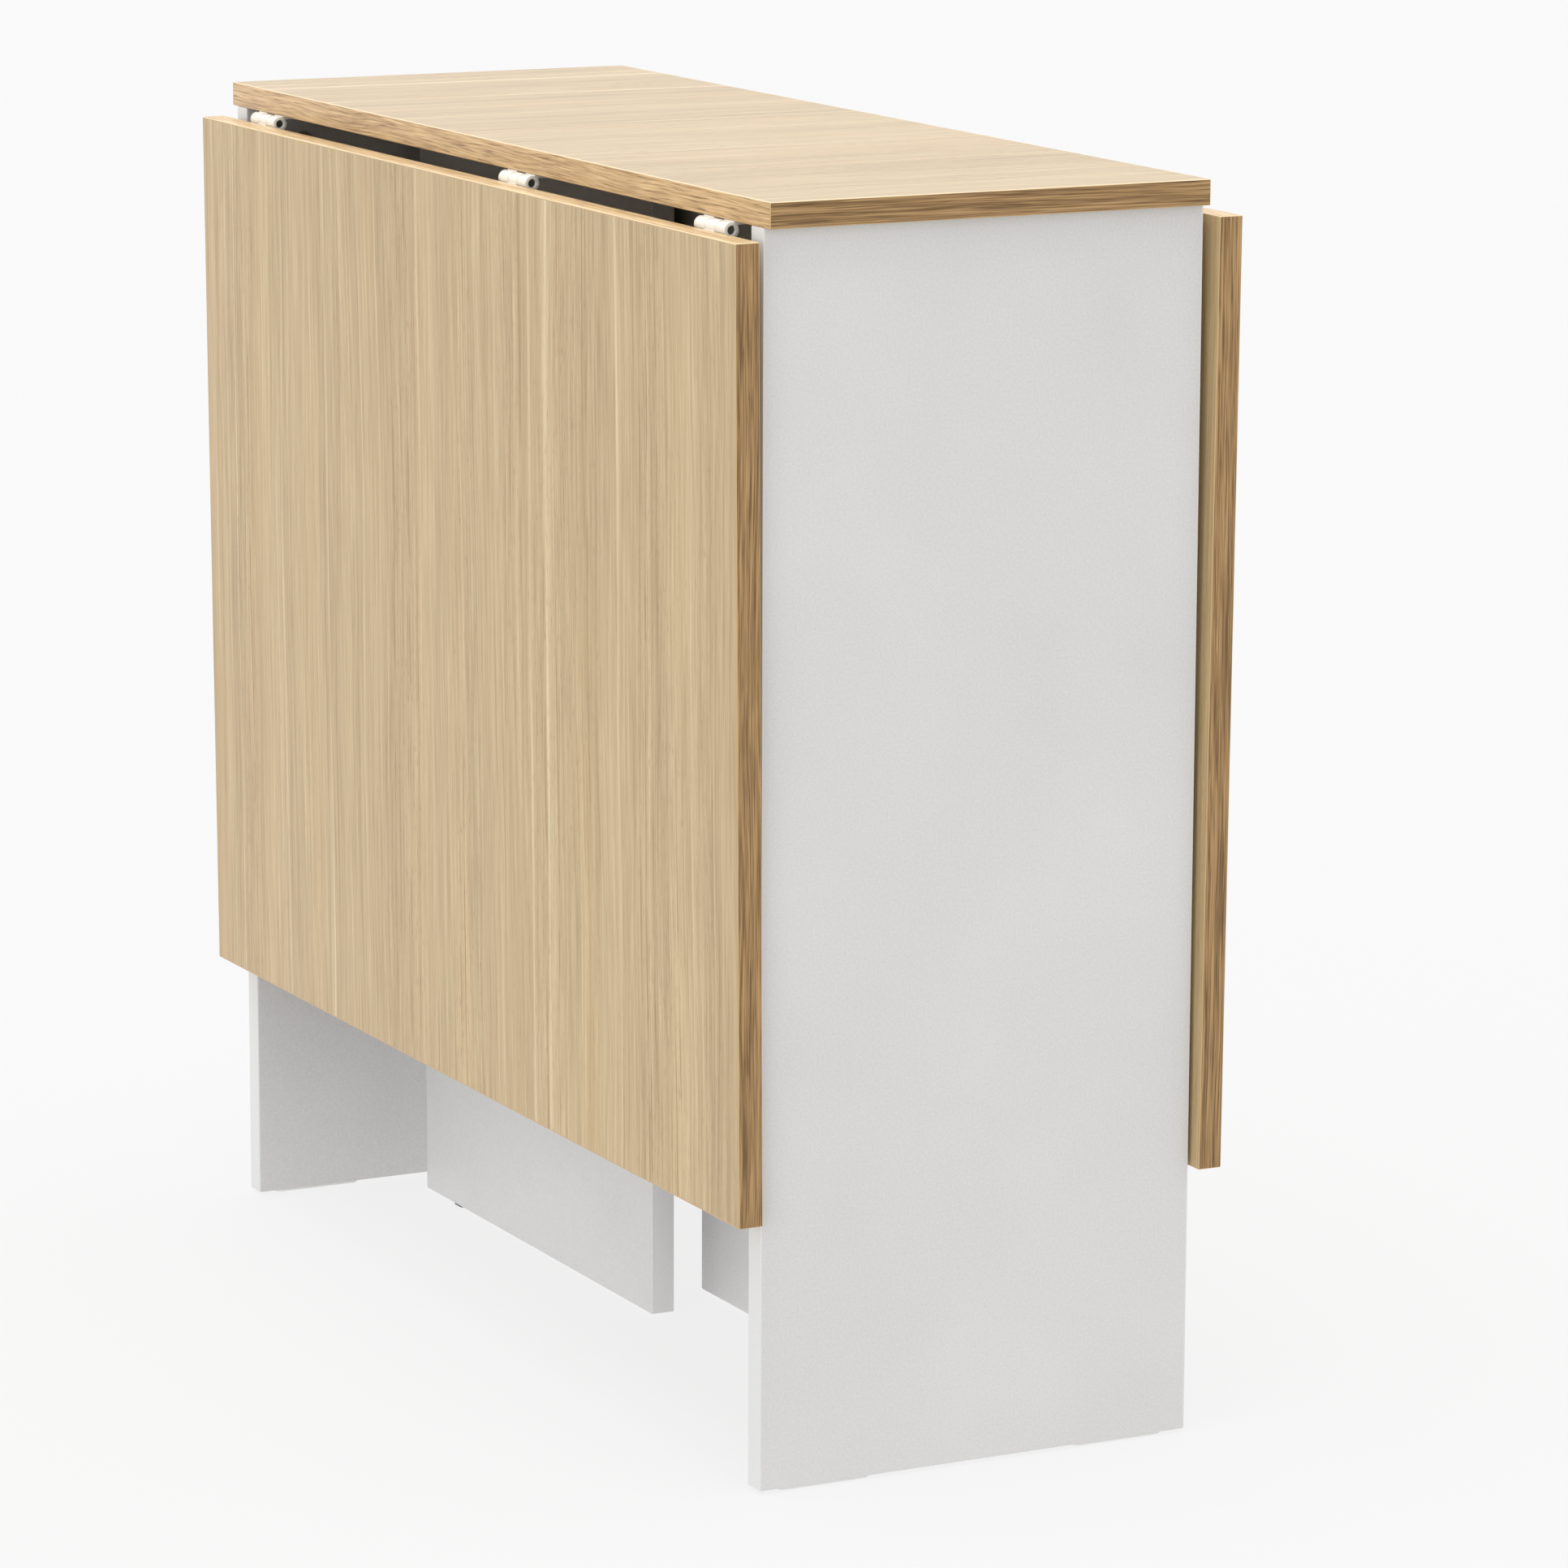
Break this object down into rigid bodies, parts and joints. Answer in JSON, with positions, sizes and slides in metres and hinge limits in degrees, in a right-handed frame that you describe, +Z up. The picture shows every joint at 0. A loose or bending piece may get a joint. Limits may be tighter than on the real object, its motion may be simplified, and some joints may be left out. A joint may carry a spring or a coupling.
{
  "type": "gateleg table",
  "caption": "Folded drop-leaf table: a narrow top on two end panels, a hanging leaf on each side and swinging gates inside that carry the raised leaves.",
  "frame": {"origin": "on the floor under the middle of the table", "axes": "+Z up, +Y along the table's length, +X across it from the left leaf to the right leaf"},
  "size_m": [0.3228, 0.77, 0.74],
  "materials": {
    "oak_laminate": "satin light oak decor, fine straight grain",
    "oak_edge_band": "satin brown oak edge band",
    "white_melamine": "satin white melamine on particle board",
    "white_edge_band": "satin white edge band",
    "white_lacquered_steel": "gloss white lacquer",
    "pin_steel": "bright zinc plated",
    "screw_steel": "bright zinc plated",
    "zinc_alloy": "die cast zinc",
    "beech": "raw beech",
    "white_plastic": "fine matt moulded",
    "dark_plastic": "fine matt moulded"
  },
  "bodies": {
    "carcass": {"cam_bolts": "pin_steel", "cam_locks": "zinc_alloy", "centre_top": "oak_laminate", "centre_top_edging": "oak_edge_band", "dowels": "beech", "end_panel_glides": "white_plastic", "far_end_panel": "white_melamine", "far_end_panel_edging": "white_edge_band", "left_gate_hinge_lower_spine_wing": "white_lacquered_steel", "left_gate_hinge_pins": "pin_steel", "left_gate_hinge_upper_spine_wing": "white_lacquered_steel", "left_leaf_hinge_far_top_wing": "white_lacquered_steel", "left_leaf_hinge_middle_top_wing": "white_lacquered_steel", "left_leaf_hinge_near_top_wing": "white_lacquered_steel", "left_leaf_hinge_pins": "pin_steel", "left_spine_wing_screws": "screw_steel", "left_top_wing_screws": "screw_steel", "near_end_panel": "white_melamine", "near_end_panel_edging": "white_edge_band", "right_gate_hinge_lower_spine_wing": "white_lacquered_steel", "right_gate_hinge_pins": "pin_steel", "right_gate_hinge_upper_spine_wing": "white_lacquered_steel", "right_leaf_hinge_far_top_wing": "white_lacquered_steel", "right_leaf_hinge_middle_top_wing": "white_lacquered_steel", "right_leaf_hinge_near_top_wing": "white_lacquered_steel", "right_leaf_hinge_pins": "pin_steel", "right_spine_wing_screws": "screw_steel", "right_top_wing_screws": "screw_steel", "spine_panel": "white_melamine", "spine_panel_edging": "white_edge_band"},
    "left_leaf": {"left_leaf": "oak_laminate", "left_leaf_edging": "oak_edge_band", "left_leaf_hinge_far_leaf_wing": "white_lacquered_steel", "left_leaf_hinge_middle_leaf_wing": "white_lacquered_steel", "left_leaf_hinge_near_leaf_wing": "white_lacquered_steel", "left_leaf_wing_screws": "screw_steel", "left_rest_block": "white_plastic", "left_rest_block_screws": "screw_steel"},
    "right_leaf": {"right_leaf": "oak_laminate", "right_leaf_edging": "oak_edge_band", "right_leaf_hinge_far_leaf_wing": "white_lacquered_steel", "right_leaf_hinge_middle_leaf_wing": "white_lacquered_steel", "right_leaf_hinge_near_leaf_wing": "white_lacquered_steel", "right_leaf_wing_screws": "screw_steel", "right_rest_block": "white_plastic", "right_rest_block_screws": "screw_steel"},
    "left_gate": {"left_gate": "white_melamine", "left_gate_edging": "white_edge_band", "left_gate_glide": "dark_plastic", "left_gate_hinge_lower_gate_wing": "white_lacquered_steel", "left_gate_hinge_upper_gate_wing": "white_lacquered_steel", "left_gate_wing_screws": "screw_steel"},
    "right_gate": {"right_gate": "white_melamine", "right_gate_edging": "white_edge_band", "right_gate_glide": "dark_plastic", "right_gate_hinge_lower_gate_wing": "white_lacquered_steel", "right_gate_hinge_upper_gate_wing": "white_lacquered_steel", "right_gate_wing_screws": "screw_steel"}
  },
  "joints": [
    {"name": "left_leaf_lift", "type": "hinge", "parent": "carcass", "child": "left_leaf", "pos_m": [-0.1415, 0, 0.7201], "axis": [0, 1, 0], "range_deg": [0, 90.4]},
    {"name": "right_leaf_lift", "type": "hinge", "parent": "carcass", "child": "right_leaf", "pos_m": [0.1415, 0, 0.7201], "axis": [0, -1, 0], "range_deg": [0, 90.4]},
    {"name": "left_gate_swing", "type": "hinge", "parent": "carcass", "child": "left_gate", "pos_m": [-0.0135, -0.017, 0.3], "axis": [0, 0, 1], "range_deg": [0, 90]},
    {"name": "right_gate_swing", "type": "hinge", "parent": "carcass", "child": "right_gate", "pos_m": [0.0135, 0.017, 0.3], "axis": [0, 0, 1], "range_deg": [0, 90]}
  ],
  "couplings": [
    {"joint": "left_gate_swing", "follows": "left_leaf_lift", "ratio": 0.33},
    {"joint": "right_gate_swing", "follows": "right_leaf_lift", "ratio": 0.33}
  ]
}
